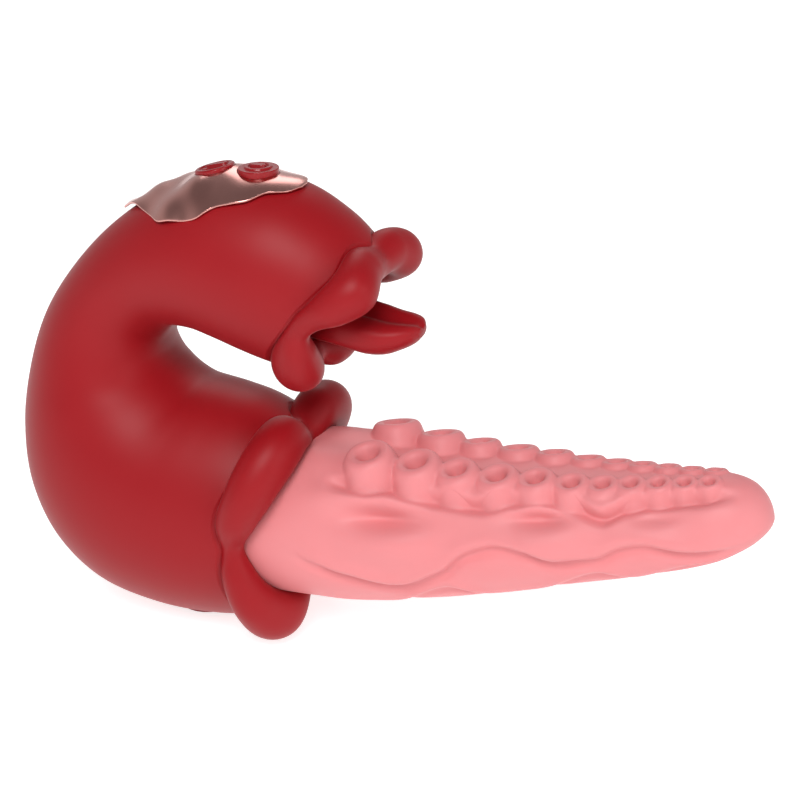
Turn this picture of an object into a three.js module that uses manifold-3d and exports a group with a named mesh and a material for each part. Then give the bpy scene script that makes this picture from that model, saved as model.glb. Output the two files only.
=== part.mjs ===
// A curved handheld personal massager, in millimetres, +Z up, +X along the ribbed arm.
// A red silicone head bends round like a C. Its upper mouth holds a small swinging tongue and
// its lower mouth holds a tapering pink arm with two rows of cups along the top.
// The middle of the object is symmetric about the XZ plane.
import * as THREE from "three";
import { mergeVertices } from "three/addons/utils/BufferGeometryUtils.js";
import Module from "manifold-3d";

const wasm = await Module();
wasm.setup();

// The tables below are drawn about a point between the two mouths. This shift puts the
// origin at the middle of the bottom of the whole object.
const SHIFT_X = 3.95;
const SHIFT_Z = 59.15;

const GAP = 0.3; // running gap left between neighbouring bodies
const SKIN = 2.4; // silicone wall thickness
const CHASSIS_OUT = SKIN + 0.5; // depth of the chassis outer face below the skin's outer face
const CHASSIS_IN = CHASSIS_OUT + 1.8; // depth of the chassis inner face
const ROUND = 24; // divisions round the chassis and the arm
const SKIN_ROUND = 36; // divisions round the silicone skin and its lips
const MOUTH_UPPER = 0;
const MOUTH_LOWER = 1;

// Head sections from the upper mouth to the lower mouth:
// outer edge x, z, inner edge x, z, half width across Y.
const HEAD = [
  [-4.4, 32.8, -22.0, 4.9, 15.6],
  [-12.8, 40.2, -29.2, 6.2, 17.4],
  [-24.6, 45.7, -34.8, 7.8, 18.6],
  [-39.8, 46.5, -39.6, 9.4, 18.4],
  [-54.2, 41.3, -45.4, 11.0, 17.2],
  [-66.4, 32.9, -52.0, 10.8, 16.0],
  [-76.4, 22.6, -56.0, 7.6, 15.8],
  [-84.2, 11.0, -56.4, 3.6, 16.8],
  [-88.9, -2.4, -55.0, 0.6, 18.8],
  [-91.0, -16.7, -53.0, -1.2, 21.2],
  [-89.6, -31.9, -50.8, -2.4, 23.2],
  [-83.0, -45.5, -48.2, -3.2, 24.6],
  [-71.5, -55.1, -45.0, -3.8, 25.0],
  [-56.0, -58.8, -40.4, -4.5, 24.8],
  [-40.6, -58.6, -33.4, -6.0, 23.6],
  [-26.0, -55.5, -24.5, -9.4, 21.8],
];

// Rolled lips: degrees from the outer side of the C, distance of the roll's centre from the
// mouth axis, its distance forward of the mouth plane, and the roll's radius.
const UPPER_LIP = [
  [0, 14.2, 0.6, 4.2],
  [20, 16.2, 1.4, 5.0],
  [41, 17.3, 1.4, 5.0],
  [68, 16.4, -0.2, 4.3],
  [90, 14.6, -3.2, 2.4],
  [112, 14.8, -1.6, 4.0],
  [135, 14.9, 0.0, 5.3],
  [155, 14.6, 0.4, 5.3],
  [180, 12.4, -0.6, 3.0],
];
const LOWER_LIP = [
  [0, 16.6, 0.6, 4.0],
  [27, 22.8, 0.4, 6.4],
  [50, 22.6, -2.0, 5.2],
  [72, 21.2, -4.6, 3.8],
  [90, 20.0, -6.2, 2.6],
  [106, 21.8, -5.0, 4.4],
  [125, 24.4, -2.0, 5.4],
  [145, 25.4, 0.2, 5.7],
  [163, 23.8, 0.6, 5.2],
  [180, 19.4, 0.0, 4.0],
];

// Arm sections: share of its length, ridge height, depth below the axis, half width.
const ARM = [
  [-0.075, 15.4, 17.0, 17.4],
  [0.0, 16.6, 17.6, 18.4],
  [0.1, 17.2, 18.6, 19.2],
  [0.18, 16.2, 18.6, 19.0],
  [0.28, 14.0, 18.4, 18.2],
  [0.37, 12.5, 18.0, 17.4],
  [0.47, 11.3, 16.6, 16.4],
  [0.6, 9.8, 14.2, 14.6],
  [0.75, 8.6, 11.9, 12.4],
  [0.87, 8.0, 9.5, 10.6],
  [1.0, 8.2, 5.0, 9.0],
];
const ARM_BASE = new THREE.Vector3(-26, 0, -32.2);
const ARM_TILT = THREE.MathUtils.degToRad(10.2);
const ARM_LENGTH = 109.6;
const ARM_AXIS = new THREE.Vector3(Math.cos(ARM_TILT), 0, Math.sin(ARM_TILT));
const ARM_UP = new THREE.Vector3(-Math.sin(ARM_TILT), 0, Math.cos(ARM_TILT));
const CUP_LEAN = THREE.MathUtils.degToRad(10);
// Pairs of cups: distance along the arm, distance from the middle, height and radius of the rim.
const CUP_PAIRS = [
  [25.8, 8.9, 18.8, 5.2],
  [36.2, 8.1, 16.5, 5.0],
  [45.2, 7.9, 14.6, 4.45],
  [54.0, 7.5, 13.4, 4.4],
  [62.3, 7.0, 12.5, 4.05],
  [69.8, 6.6, 11.5, 3.7],
  [76.3, 5.9, 10.9, 3.4],
  [82.1, 5.0, 10.7, 3.1],
  [87.7, 4.3, 10.4, 2.85],
  [93.0, 3.5, 10.2, 2.65],
  [98.1, 3.0, 10.0, 2.45],
];

// Tongue stations: x, z of the middle, half width, depth below the middle, height of the edges.
const TONGUE = [
  [-20.5, 15.2, 6.2, 2.4, 3.4],
  [-15.5, 15.5, 7.6, 3.1, 3.9],
  [-11.0, 15.6, 8.5, 4.1, 4.6],
  [-6.0, 15.7, 8.2, 5.1, 4.7],
  [-2.0, 16.0, 7.6, 4.8, 4.2],
  [1.6, 16.3, 6.5, 3.9, 3.4],
  [4.1, 16.6, 4.9, 2.8, 2.4],
  [5.6, 16.8, 2.3, 1.3, 1.1],
];
const TONGUE_PIVOT = new THREE.Vector3(-27.5, 0, 14.5);

const PANEL_START = 0.119; // share of the head where the metal panel starts
const PANEL_END = 0.312;
const PANEL_LIFT = 0.25; // gap below the panel
const PANEL_THICK = 0.6;
// Half width of the panel in degrees round the head, along its length.
const PANEL_EDGE = [
  [0.0, 4],
  [0.07, 17],
  [0.16, 27],
  [0.3, 38],
  [0.42, 49],
  [0.58, 50],
  [0.68, 46],
  [0.8, 29],
  [0.88, 17],
  [1.0, 3],
];

// Buttons: share of the head and lean of the button toward -X in degrees.
const POWER_AT = [0.167, 2];
const MODE_AT = [0.211, 14];

const lerp = (a, b, t) => a + (b - a) * t;
const radians = THREE.MathUtils.degToRad;

// Uniform Catmull-Rom through the rows of a table, at t from 0 to 1.
function through(table, t) {
  const n = table.length - 1;
  const x = Math.min(Math.max(t, 0), 1) * n;
  const i = Math.min(Math.floor(x), n - 1);
  const f = x - i;
  const before = i > 0 ? table[i - 1] : table[0].map((v, k) => 2 * v - table[1][k]);
  const after = i < n - 1 ? table[i + 2] : table[n].map((v, k) => 2 * v - table[n - 1][k]);
  return table[i].map((b, k) => {
    const a = before[k];
    const c = table[i + 1][k];
    const d = after[k];
    const square = (2 * a - 5 * b + 4 * c - d) * f * f;
    const cube = (3 * b - a - 3 * c + d) * f * f * f;
    return 0.5 * (2 * b + (c - a) * f + square + cube);
  });
}

// Smooth curve through the rows of a table whose first column is the place, ends level.
function lookUp(table, x, levelEnds) {
  const last = table.length - 1;
  const slope = (row, k) => {
    if (row === 0 || row === last) {
      if (levelEnds) return 0;
      const near = row === 0 ? 1 : last - 1;
      return (table[near][k] - table[row][k]) / (table[near][0] - table[row][0]);
    }
    const ahead = (table[row + 1][k] - table[row][k]) / (table[row + 1][0] - table[row][0]);
    const behind = (table[row][k] - table[row - 1][k]) / (table[row][0] - table[row - 1][0]);
    return (ahead + behind) / 2;
  };
  let i = 0;
  while (i < last - 1 && x >= table[i + 1][0]) i += 1;
  const w = table[i + 1][0] - table[i][0];
  const f = (x - table[i][0]) / w;
  const out = [];
  for (let k = 1; k < table[0].length; k += 1) {
    const start = (2 * f ** 3 - 3 * f ** 2 + 1) * table[i][k];
    const leave = (f ** 3 - 2 * f ** 2 + f) * w * slope(i, k);
    const end = (3 * f ** 2 - 2 * f ** 3) * table[i + 1][k];
    const arrive = (f ** 3 - f ** 2) * w * slope(i + 1, k);
    out.push(start + leave + end + arrive);
  }
  return out;
}

// Middle, outward direction and half sizes of the head section at share u.
function headFrame(u) {
  const [outX, outZ, inX, inZ, halfWidth] = through(HEAD, u);
  const outward = new THREE.Vector3(outX - inX, 0, outZ - inZ).multiplyScalar(0.5);
  const halfHeight = outward.length();
  outward.normalize();
  const middle = new THREE.Vector3((outX + inX) / 2, 0, (outZ + inZ) / 2);
  return { middle, outward, halfHeight, halfWidth };
}

// Point of the head's oval section, sunk below the outer face by depth.
function headPoint(u, phi, depth) {
  const { middle, outward, halfHeight, halfWidth } = headFrame(u);
  const point = middle.clone();
  point.addScaledVector(outward, (halfHeight - depth) * Math.cos(phi));
  point.y = (halfWidth - depth) * Math.sin(phi);
  return point;
}

// Point of a rolled lip: t = 0 in the crease behind it, 1 inside the mouth.
function lipPoint(mouth, phi, t) {
  const { middle, outward, halfHeight, halfWidth } = headFrame(mouth);
  const axis = new THREE.Vector3(outward.z, 0, -outward.x);
  if (mouth === MOUTH_LOWER) axis.negate();
  const turn = Math.abs(Math.atan2(Math.sin(phi), Math.cos(phi)));
  const table = mouth === MOUTH_UPPER ? UPPER_LIP : LOWER_LIP;
  const [away, ahead, roll] = lookUp(table, THREE.MathUtils.radToDeg(turn), true);
  const oval =
    (halfHeight * halfWidth) / Math.hypot(halfWidth * Math.cos(phi), halfHeight * Math.sin(phi));
  const lean = Math.min(Math.max((oval - away) / roll, -0.92), 0.92);
  const angle = lerp(Math.PI - Math.asin(lean), -0.72 * Math.PI, t);
  const radius = away + roll * Math.sin(angle);
  const point = middle.clone().addScaledVector(axis, ahead + roll * Math.cos(angle));
  point.addScaledVector(outward, radius * Math.cos(phi));
  point.y += radius * Math.sin(phi);
  return point;
}

// Turns a list of points and triangles into a geometry that faces outward.
function shapeOf(points, faces) {
  let volume = 0;
  for (const [a, b, c] of faces) {
    volume += points[a].dot(new THREE.Vector3().crossVectors(points[b], points[c]));
  }
  const order = volume < 0 ? faces.map(([a, b, c]) => [a, c, b]) : faces;
  const geometry = new THREE.BufferGeometry();
  geometry.setAttribute(
    "position",
    new THREE.Float32BufferAttribute(points.flatMap((p) => [p.x, p.y, p.z]), 3),
  );
  geometry.setIndex(order.flat());
  return geometry;
}

// Rings of points joined row to row. The rows either close on themselves or end in caps.
function ringsToShape(rings, closeRows) {
  const n = rings[0].length;
  const points = rings.flat();
  const faces = [];
  const rowCount = closeRows ? rings.length : rings.length - 1;
  for (let i = 0; i < rowCount; i += 1) {
    const next = ((i + 1) % rings.length) * n;
    for (let j = 0; j < n; j += 1) {
      const k = (j + 1) % n;
      faces.push([i * n + j, i * n + k, next + k], [i * n + j, next + k, next + j]);
    }
  }
  if (!closeRows) {
    const ends = [
      [0, 1],
      [(rings.length - 1) * n, -1],
    ];
    for (const [start, side] of ends) {
      const centre = new THREE.Vector3();
      for (let j = 0; j < n; j += 1) centre.add(points[start + j]);
      points.push(centre.divideScalar(n));
      const hub = points.length - 1;
      for (let j = 0; j < n; j += 1) {
        const a = start + j;
        const b = start + ((j + 1) % n);
        faces.push(side > 0 ? [hub, b, a] : [hub, a, b]);
      }
    }
  }
  return shapeOf(points, faces);
}

// A thick sheet between two grids of the same size, closed round its four edges.
function sheetBetween(outer, inner) {
  const rows = outer.length;
  const columns = outer[0].length;
  const points = [...outer.flat(), ...inner.flat()];
  const under = rows * columns;
  const faces = [];
  const quad = (a, b, c, d) => faces.push([a, b, c], [a, c, d]);
  for (let i = 0; i < rows - 1; i += 1) {
    for (let j = 0; j < columns - 1; j += 1) {
      const a = i * columns + j;
      quad(a, a + 1, a + columns + 1, a + columns);
      quad(under + a, under + a + columns, under + a + columns + 1, under + a + 1);
    }
  }
  const last = (rows - 1) * columns;
  for (let j = 0; j < columns - 1; j += 1) {
    quad(j, under + j, under + j + 1, j + 1);
    quad(last + j, last + j + 1, under + last + j + 1, under + last + j);
  }
  for (let i = 0; i < rows - 1; i += 1) {
    const a = i * columns;
    const b = a + columns - 1;
    quad(a, a + columns, under + a + columns, under + a);
    quad(b, under + b, under + b + columns, b + columns);
  }
  return shapeOf(points, faces);
}

// Moves a geometry whose own axis is +Z so that the axis points along direction, from origin.
function place(geometry, origin, direction) {
  const turn = new THREE.Quaternion().setFromUnitVectors(
    new THREE.Vector3(0, 0, 1),
    direction.clone().normalize(),
  );
  const matrix = new THREE.Matrix4().compose(origin, turn, new THREE.Vector3(1, 1, 1));
  return geometry.applyMatrix4(matrix);
}

// A turned solid about +Z from [radius, height] pairs that start and end on the axis.
function turned(profile, divisions) {
  const points = profile.map(([r, h]) => new THREE.Vector2(r, h));
  return new THREE.LatheGeometry(points, divisions).rotateX(Math.PI / 2);
}

function rod(radius, from, to, divisions = 16) {
  const profile = [
    [0, from],
    [radius, from],
    [radius, to],
    [0, to],
  ];
  return turned(profile, divisions);
}

function block(x, y, z, centre) {
  return new THREE.BoxGeometry(x, y, z).translate(centre.x, centre.y, centre.z);
}

function solid(geometry) {
  const bare = geometry.clone();
  for (const name of ["normal", "uv"]) {
    if (bare.hasAttribute(name)) bare.deleteAttribute(name);
  }
  const merged = mergeVertices(bare, 1e-4);
  const corners = merged.index.array;
  const kept = [];
  for (let i = 0; i < corners.length; i += 3) {
    const [a, b, c] = [corners[i], corners[i + 1], corners[i + 2]];
    if (a !== b && b !== c && c !== a) kept.push(a, b, c);
  }
  const mesh = new wasm.Mesh({
    numProp: 3,
    vertProperties: new Float32Array(merged.attributes.position.array),
    triVerts: new Uint32Array(kept),
  });
  return new wasm.Manifold(mesh);
}

function geometryOf(body) {
  const mesh = body.getMesh();
  const geometry = new THREE.BufferGeometry();
  const positions = new THREE.Float32BufferAttribute(mesh.vertProperties, mesh.numProp);
  geometry.setAttribute("position", positions);
  geometry.setIndex(Array.from(mesh.triVerts));
  return geometry;
}

const join = (...shapes) => geometryOf(wasm.Manifold.union(shapes.map(solid)));
const cut = (shape, ...tools) =>
  geometryOf(tools.reduce((left, tool) => left.subtract(solid(tool)), solid(shape)));

const root = new THREE.Group();
root.name = "personal_massager";
root.position.set(SHIFT_X, 0, SHIFT_Z);

function add(name, geometry, material) {
  const mesh = new THREE.Mesh(geometry, material);
  mesh.name = name;
  root.add(mesh);
}

const paint = (color, roughness, metalness) =>
  new THREE.MeshStandardMaterial({ color, roughness, metalness });
const redSilicone = paint(0xb4353c, 0.5, 0);
const pinkSilicone = paint(0xf29aa0, 0.5, 0);
const roseGold = paint(0xb98f8a, 0.3, 1);
const blackPlastic = paint(0x2b2c30, 0.55, 0);
const greyPlastic = paint(0x8a8d92, 0.55, 0);
const whitePlastic = paint(0xe6e4df, 0.5, 0);
const boardGreen = paint(0x1f6b45, 0.5, 0);
const steel = paint(0xb8bcc0, 0.3, 1);
const gold = paint(0xd9b15a, 0.25, 1);
const batteryWrap = paint(0x2f5fa8, 0.45, 0);
const redWire = paint(0xc0302c, 0.5, 0);
const blackWire = paint(0x1c1c1e, 0.5, 0);

// Sinks the face of the button's hole: place and direction of a button.
function buttonFrame([u, lean]) {
  const [x, z] = through(HEAD, u);
  const up = new THREE.Vector3(-Math.sin(radians(lean)), 0, Math.cos(radians(lean)));
  return { at: new THREE.Vector3(x, 0, z), up };
}
const power = buttonFrame(POWER_AT);
const mode = buttonFrame(MODE_AT);
const BUTTON_RADIUS = 4.4;

// ---------- silicone skin of the head ----------
function anglesRound(count) {
  const angles = [];
  for (let j = 0; j < count; j += 1) angles.push((j / count) * 2 * Math.PI);
  return angles;
}
const rounds = anglesRound(ROUND);
const skinRounds = anglesRound(SKIN_ROUND);
const INNER_ROWS = 15;
const innerShares = [];
for (let i = 0; i < INNER_ROWS; i += 1) innerShares.push(lerp(0.07, 0.93, i / (INNER_ROWS - 1)));
const LIP_ROWS = 6;

const skinRings = [];
for (let i = LIP_ROWS - 1; i >= 0; i -= 1) {
  skinRings.push(skinRounds.map((phi) => lipPoint(MOUTH_UPPER, phi, i / (LIP_ROWS - 1))));
}
const OUTER_ROWS = 22;
for (let i = 0; i < OUTER_ROWS; i += 1) {
  const u = lerp(0.035, 0.955, i / (OUTER_ROWS - 1));
  skinRings.push(skinRounds.map((phi) => headPoint(u, phi, 0)));
}
for (let i = 0; i < LIP_ROWS; i += 1) {
  skinRings.push(skinRounds.map((phi) => lipPoint(MOUTH_LOWER, phi, i / (LIP_ROWS - 1))));
}
for (let i = INNER_ROWS - 1; i >= 0; i -= 1) {
  skinRings.push(skinRounds.map((phi) => headPoint(innerShares[i], phi, SKIN)));
}
const skinBlank = ringsToShape(skinRings, true);

// ---------- arm ----------
function armPoint(share, phi, grow) {
  const [ridge, depth, width] = lookUp(ARM, share, false);
  const nose = Math.min(Math.max((share - 0.88) / 0.12, 0), 1);
  const cap = Math.sqrt(Math.max(1 - nose ** 2.4, 0));
  const turn = THREE.MathUtils.radToDeg(Math.abs(Math.atan2(Math.sin(phi), Math.cos(phi))));
  const fade = Math.min(Math.max((0.95 - share) / 0.6, 0), 1);
  const valley = 0.1 * Math.exp(-((turn / 20) ** 2)) * fade;
  const c = Math.cos(phi);
  const up = c > 0 ? ridge * 1.16 * c * (1 - valley) : depth * c;
  const point = ARM_BASE.clone().addScaledVector(ARM_AXIS, share * ARM_LENGTH);
  point.addScaledVector(ARM_UP, up * cap + grow * c);
  point.y = width * Math.sin(phi) * cap + grow * Math.sin(phi);
  return point;
}

function armLoft(shares, grow) {
  const rings = shares.map((share) => rounds.map((phi) => armPoint(share, phi, grow)));
  return ringsToShape(rings, false);
}

function armPlace(along, side, up) {
  const point = ARM_BASE.clone().addScaledVector(ARM_AXIS, along);
  point.addScaledVector(ARM_UP, up);
  point.y = side;
  return point;
}

const sleeveShares = [-0.059, 0.02, 0.1, 0.19, 0.28, 0.37, 0.47, 0.6, 0.72, 0.82];
sleeveShares.push(0.88, 0.93, 0.965, 0.985, 0.996);
const sleeveBlank = armLoft(sleeveShares, 0);
const armClearance = armLoft([-0.07, 0.0, 0.06, 0.12, 0.15], 0.35);

// One cup: a short tapering rim with a conical hollow, its base sunk in the arm.
function cup(radius) {
  const profile = [
    [0, -radius * 1.15],
    [radius * 1.02, -radius * 1.15],
    [radius * 0.98, -radius * 0.3],
    [radius * 0.82, 0],
    [radius * 0.62, 0],
    [0, -radius * 0.62],
  ];
  return turned(profile, 9);
}
const cups = [];
for (const [along, aside, height, radius] of CUP_PAIRS) {
  for (const side of [-1, 1]) {
    const lean = ARM_UP.clone().multiplyScalar(Math.cos(CUP_LEAN));
    lean.y = side * Math.sin(CUP_LEAN);
    cups.push(place(cup(radius), armPlace(along, side * aside, height), lean));
  }
}

// The rigid core sits below the middle of the arm; the silicone tip beyond it is solid.
const CORE_DROP = -2;
const CORE_END = 62;
const coreOrigin = armPlace(0, 0, CORE_DROP);
const coreCavity = turned(
  [
    [0, -12],
    [12 + GAP, -12],
    [12 + GAP, 10],
    [7.5 + GAP, CORE_END + GAP],
    [0, CORE_END + GAP],
  ],
  20,
);
const sleeveWithCups = join(sleeveBlank, ...cups);
const sleeve = cut(sleeveWithCups, place(coreCavity, coreOrigin, ARM_AXIS));
add("arm_sleeve", sleeve, pinkSilicone);

const coreWall = 1.6;
const coreShape = turned(
  [
    [0, CORE_END - coreWall],
    [7.5 - coreWall, CORE_END - coreWall],
    [12 - coreWall, 10],
    [12 - coreWall, -7],
    [12, -7],
    [12, 10],
    [7.5, CORE_END],
    [0, CORE_END],
  ],
  20,
);
const across = new THREE.Vector3(0, 1, 0);
const coreScrewAt = armPlace(-4, 0, CORE_DROP);
const core = cut(
  place(coreShape, coreOrigin, ARM_AXIS),
  place(rod(1.1, -14, 14, 12), coreScrewAt, across),
);
add("arm_core", core, blackPlastic);

const motorBody = turned(
  [
    [0, 38],
    [4.5, 38],
    [4.5, 57],
    [0, 57],
  ],
  18,
);
add("arm_motor", place(motorBody, coreOrigin, ARM_AXIS), steel);
const collar = cut(rod(6.4, 44, 48, 20), rod(4.5 + GAP, 43, 49, 18));
add("arm_motor_collar", place(collar, coreOrigin, ARM_AXIS), whitePlastic);
const shaftAndWeight = join(
  rod(0.75, 29, 37.7, 10),
  cut(rod(4.2, 29.5, 36, 18), block(10, 5, 12, { x: 0, y: -3.3, z: 33 })),
);
add("arm_weight", place(shaftAndWeight, coreOrigin, ARM_AXIS), steel);

// ---------- chassis ----------
const bossSpots = [
  [-52, 27],
  [-71.5, 2],
  [-81.5, -22],
  [-45.5, -15],
];

function chassisHalf(side) {
  const arc = [];
  for (let j = 0; j <= ROUND / 2; j += 1) arc.push((j / ROUND) * 2 * Math.PI);
  const layer = (depth) =>
    innerShares.map((u) =>
      arc.map((phi) => {
        const point = headPoint(u, phi, depth);
        point.y = side * Math.max(point.y, GAP / 2);
        return point;
      }),
    );
  return sheetBetween(layer(CHASSIS_OUT), layer(CHASSIS_IN));
}

// Solid that fills one side of the inside of the chassis, used to trim bosses and ribs.
function insideOf(depth) {
  const rings = innerShares.map((u) => rounds.map((phi) => headPoint(u, phi, depth)));
  return ringsToShape(rings, false);
}
const trim = solid(insideOf(CHASSIS_IN - 0.6));

function trimmed(shape, side) {
  const halfSpace = block(260, 60, 260, { x: 0, y: side * (30 + GAP / 2), z: 0 });
  return geometryOf(solid(shape).intersect(trim).intersect(solid(halfSpace)));
}

function chassis(side) {
  const parts = [chassisHalf(side)];
  for (const [x, z] of bossSpots) {
    const boss = place(rod(2.8, -40, 40, 14), new THREE.Vector3(x, 0, z), across);
    parts.push(trimmed(boss, side));
  }
  // ear that carries the tongue's pivot pin
  const ear = block(6, 8, 11, { x: TONGUE_PIVOT.x, y: side * 8.9, z: TONGUE_PIVOT.z - 2 });
  parts.push(trimmed(ear, side));
  const tools = bossSpots.map(([x, z]) =>
    place(rod(1.15, -40, 40, 10), new THREE.Vector3(x, 0, z), across),
  );
  tools.push(place(rod(1.0, -14, 14, 12), TONGUE_PIVOT, across));
  tools.push(place(rod(2.1, -9, 9, 14), power.at, power.up));
  tools.push(place(rod(2.1, -9, 9, 14), mode.at, mode.up));
  for (const contact of contactSpots) tools.push(rod(1.6, -8, 8, 12).translate(...contact));
  tools.push(padPocket);
  return cut(join(...parts), ...tools);
}

// ---------- charging pad on the underside ----------
const PAD_X = -48.5;
const PAD_Z = -59.1; // lowest line of the head there
const PAD_RADIUS = 7;
const contactSpots = [
  [PAD_X, -3.4, PAD_Z],
  [PAD_X, 3.4, PAD_Z],
];
const padPocket = rod(PAD_RADIUS + GAP, -2, 2.9, 24).translate(PAD_X, 0, PAD_Z);
const padBlank = rod(PAD_RADIUS, -0.05, 2.6, 24).translate(PAD_X, 0, PAD_Z);
const padHoles = contactSpots.map((spot) => rod(1.55, -4, 4, 12).translate(...spot));
add("charge_pad", cut(padBlank, ...padHoles), blackPlastic);
contactSpots.forEach((spot, i) => {
  const pin = turned(
    [
      [0, 0.25],
      [1.25, 0.25],
      [1.25, 5.9],
      [0, 5.9],
    ],
    12,
  );
  add(`charge_contact_${i + 1}`, pin.translate(...spot), gold);
});
const boardAt = { x: PAD_X - 1, y: 0, z: PAD_Z + 6.9 };
add("charge_board", block(7, 11, 1.2, boardAt), boardGreen);

add("chassis_left", chassis(1), blackPlastic);
add("chassis_right", chassis(-1), blackPlastic);

bossSpots.forEach(([x, z], i) => {
  const screw = turned(
    [
      [0, -9],
      [0.85, -9],
      [0.85, 9],
      [0, 9],
    ],
    10,
  );
  add(`chassis_screw_${i + 1}`, place(screw, new THREE.Vector3(x, 0, z), across), steel);
});

// ---------- skin openings ----------
const skinTools = [
  armClearance,
  place(rod(BUTTON_RADIUS + GAP, -6, 6, 20), power.at, power.up),
  place(rod(BUTTON_RADIUS + GAP, -6, 6, 20), mode.at, mode.up),
  rod(PAD_RADIUS + GAP, -5, 4.5, 24).translate(PAD_X, 0, PAD_Z),
];
add("body_skin", cut(skinBlank, ...skinTools), redSilicone);

// ---------- metal panel and buttons ----------
const PANEL_ROWS = 13;
const PANEL_COLUMNS = 9;
function panelLayer(depth) {
  const grid = [];
  for (let i = 0; i < PANEL_ROWS; i += 1) {
    const t = i / (PANEL_ROWS - 1);
    const [edge] = lookUp(PANEL_EDGE, t, false);
    const row = [];
    for (let j = 0; j < PANEL_COLUMNS; j += 1) {
      const phi = radians(lerp(-edge, edge, j / (PANEL_COLUMNS - 1)));
      row.push(headPoint(lerp(PANEL_START, PANEL_END, t), phi, depth));
    }
    grid.push(row);
  }
  return grid;
}
const panelBlank = sheetBetween(
  panelLayer(-PANEL_LIFT - PANEL_THICK),
  panelLayer(-PANEL_LIFT),
);
const panel = cut(
  panelBlank,
  place(rod(BUTTON_RADIUS + GAP, -6, 6, 20), power.at, power.up),
  place(rod(BUTTON_RADIUS + GAP, -6, 6, 20), mode.at, mode.up),
);
add("control_panel", panel, roseGold);

const buttonProfile = [
  [0, -8.2],
  [1.7, -8.2],
  [1.7, -1.9],
  [BUTTON_RADIUS, -1.9],
  [BUTTON_RADIUS, 1.3],
  [BUTTON_RADIUS - 0.3, 1.6],
  [BUTTON_RADIUS - 0.9, 1.9],
  [BUTTON_RADIUS - 1.2, 1.5],
  [0, 1.5],
];
add("power_button", place(turned(buttonProfile, 20), power.at, power.up), redSilicone);
add("mode_button", place(turned(buttonProfile, 20), mode.at, mode.up), redSilicone);

function pushSwitch(frame) {
  const body = block(4.4, 4.4, 1.6, { x: 0, y: 0, z: -10.2 });
  return place(join(body, rod(1.2, -9.6, -8.9, 10)), frame.at, frame.up);
}
add("power_switch", pushSwitch(power), greyPlastic);
add("mode_switch", pushSwitch(mode), greyPlastic);

const boardUp = new THREE.Vector3(-Math.sin(radians(8)), 0, Math.cos(radians(8)));
const boardMiddle = power.at.clone().add(mode.at).multiplyScalar(0.5);
const mainBoard = block(24, 15, 1.2, { x: 0, y: 0, z: -12.6 });
add("main_board", place(mainBoard, boardMiddle, boardUp), boardGreen);
const chip = block(6, 6, 1.1, { x: 2, y: 0, z: -14.1 });
add("controller_chip", place(chip, boardMiddle, boardUp), blackPlastic);

// ---------- tongue and its drive ----------
function tongueRing(t) {
  const [x, z, halfWidth, depth, edge] = through(TONGUE, t);
  const ring = [];
  const divisions = 20;
  for (let j = 0; j < divisions; j += 1) {
    const phi = (j / divisions) * 2 * Math.PI;
    const sideways = Math.cos(phi);
    const rise = Math.sin(phi);
    // the top is hollowed between two raised edges
    const hollow = 0.42 * Math.min(3 * t, 1) * Math.exp(-((sideways / 0.34) ** 2));
    const groove = rise > 0 ? 1 - hollow : 1;
    const height = rise > 0 ? edge * rise ** 0.7 * groove : depth * rise;
    ring.push(new THREE.Vector3(x, halfWidth * sideways, z + height));
  }
  return ring;
}
const tongueRings = [];
for (let i = 0; i <= 12; i += 1) tongueRings.push(tongueRing(i / 12));
const tonguePocket = block(9, 8.6, 2.6, { x: -18.7, y: 0, z: 15.3 });
add("tongue", cut(ringsToShape(tongueRings, false), tonguePocket), redSilicone);

const carrierPlate = block(13.2, 8, 2, { x: -21.1, y: 0, z: 15.3 });
const carrierHub = place(rod(2.6, -4.5, 4.5, 16), TONGUE_PIVOT, across);
const carrierTail = block(6, 8, 2.2, { x: -31, y: 0, z: 15.5 });
const motorSaddle = block(6.4, 6, 4.6, { x: -31.6, y: 0, z: 18 });
const motorSpot = new THREE.Vector3(-31.6, 0, 21.2);
const carrier = cut(
  join(carrierPlate, carrierHub, carrierTail, motorSaddle),
  place(rod(1.0, -14, 14, 12), TONGUE_PIVOT, across),
  place(rod(3 + GAP, -9, 9, 16), motorSpot, across),
);
add("tongue_carrier", carrier, whitePlastic);
add("tongue_pivot_pin", place(rod(0.9, -9, 9, 12), TONGUE_PIVOT, across), steel);
add("tongue_motor", place(rod(3, -6, 5, 16), motorSpot, across), steel);
const smallWeight = join(
  rod(0.5, 5.3, 9.2, 8),
  cut(rod(2.6, 6, 9, 14), block(8, 3, 8, { x: 0, y: -2.1, z: 7 })),
);
add("tongue_weight", place(smallWeight, motorSpot, across), steel);

// web that closes the upper mouth behind the tongue, with a slot for the tongue's carrier
const webRings = [0.044, 0.056].map((u) => rounds.map((phi) => headPoint(u, phi, 5.3)));
const webSlot = block(30, 9.6, 6, { x: -24, y: 0, z: 15.3 });
const webPocket = block(16, 14.6, 11, { x: -13.6, y: 0, z: 16 });
add("mouth_web", cut(ringsToShape(webRings, false), webSlot, webPocket), redSilicone);

// ---------- battery, tray and arm socket ----------
const batteryAt = new THREE.Vector3(-62.5, 0, -33);
const along = new THREE.Vector3(1, 0, 0);
const cell = turned(
  [
    [0, -15],
    [7.4, -15],
    [8, -14.4],
    [8, 14.4],
    [7.4, 15],
    [3, 15],
    [3, 16],
    [0, 16],
  ],
  18,
);
add("battery", place(cell, batteryAt, along), batteryWrap);
const trayBody = block(22, 16, 8, { x: -63, y: 0, z: -39 });
const trayFeet = [
  block(5, 7, 8, { x: -58, y: 0, z: -46.9 }),
  block(5, 7, 5.6, { x: -69.5, y: 0, z: -44.4 }),
];
const trayHollow = place(rod(8 + GAP, -30, 30, 18), batteryAt, along);
add("battery_tray", cut(join(trayBody, ...trayFeet), trayHollow), greyPlastic);

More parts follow.
